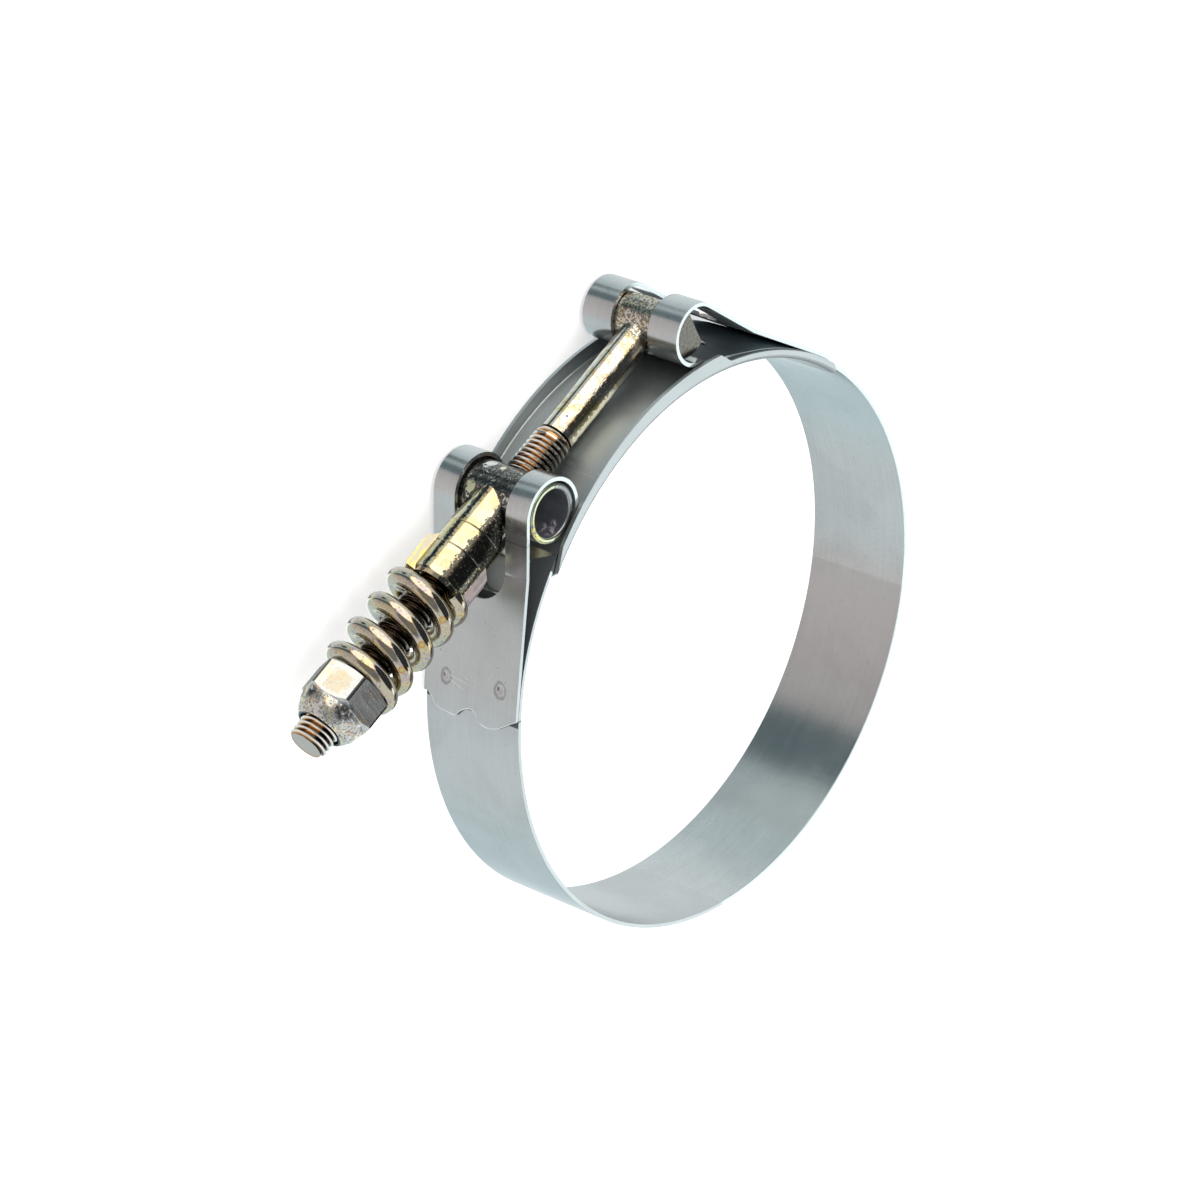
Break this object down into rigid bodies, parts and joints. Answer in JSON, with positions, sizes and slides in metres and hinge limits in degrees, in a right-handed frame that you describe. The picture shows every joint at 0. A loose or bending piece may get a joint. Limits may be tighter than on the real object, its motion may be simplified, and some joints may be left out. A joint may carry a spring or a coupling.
{
  "type": "T-bolt clamp",
  "caption": "Spring loaded T-bolt band clamp in stainless strip with a channel liner, a yellow zinc plated bolt, sleeve and coil spring, and a lock nut.",
  "frame": {"origin": "centre of the ring half way across the band", "axes": "+Z along the ring's axis, +Y toward the bolt, +X along the bolt from the lock nut to the T-head"},
  "size_m": [0.1156, 0.1046, 0.0208],
  "materials": {
    "band_steel": "fine rolled stainless",
    "liner_steel": "fine rolled stainless",
    "bolt_plating": "yellow chromate on zinc",
    "trunnion_plating": "yellow chromate on zinc",
    "sleeve_plating": "yellow chromate on zinc",
    "spring_plating": "yellow chromate on zinc",
    "nut_plating": "thin yellow chromate on zinc",
    "insert_nylon": "matte"
  },
  "bodies": {
    "clamp": {"band": "band_steel", "liner": "liner_steel", "t_bolt": "bolt_plating", "trunnion": "trunnion_plating", "sleeve": "sleeve_plating", "spring": "spring_plating"},
    "nut_slide": {"nut_insert": "insert_nylon"},
    "nut": {"lock_nut": "nut_plating"}
  },
  "joints": [
    {"name": "nut_travel", "type": "slide", "parent": "clamp", "child": "nut_slide", "axis": [1, 0, 0], "range_m": [-0.003, 0.0055], "deforming": ["spring"]},
    {"name": "nut_turning", "type": "hinge", "parent": "nut_slide", "child": "nut", "pos_m": [-0.06, 0.05, 0], "axis": [1, 0, 0], "continuous": true}
  ],
  "couplings": [
    {"joint": "nut_turning", "follows": "nut_travel", "rad_per_m": 6926}
  ]
}
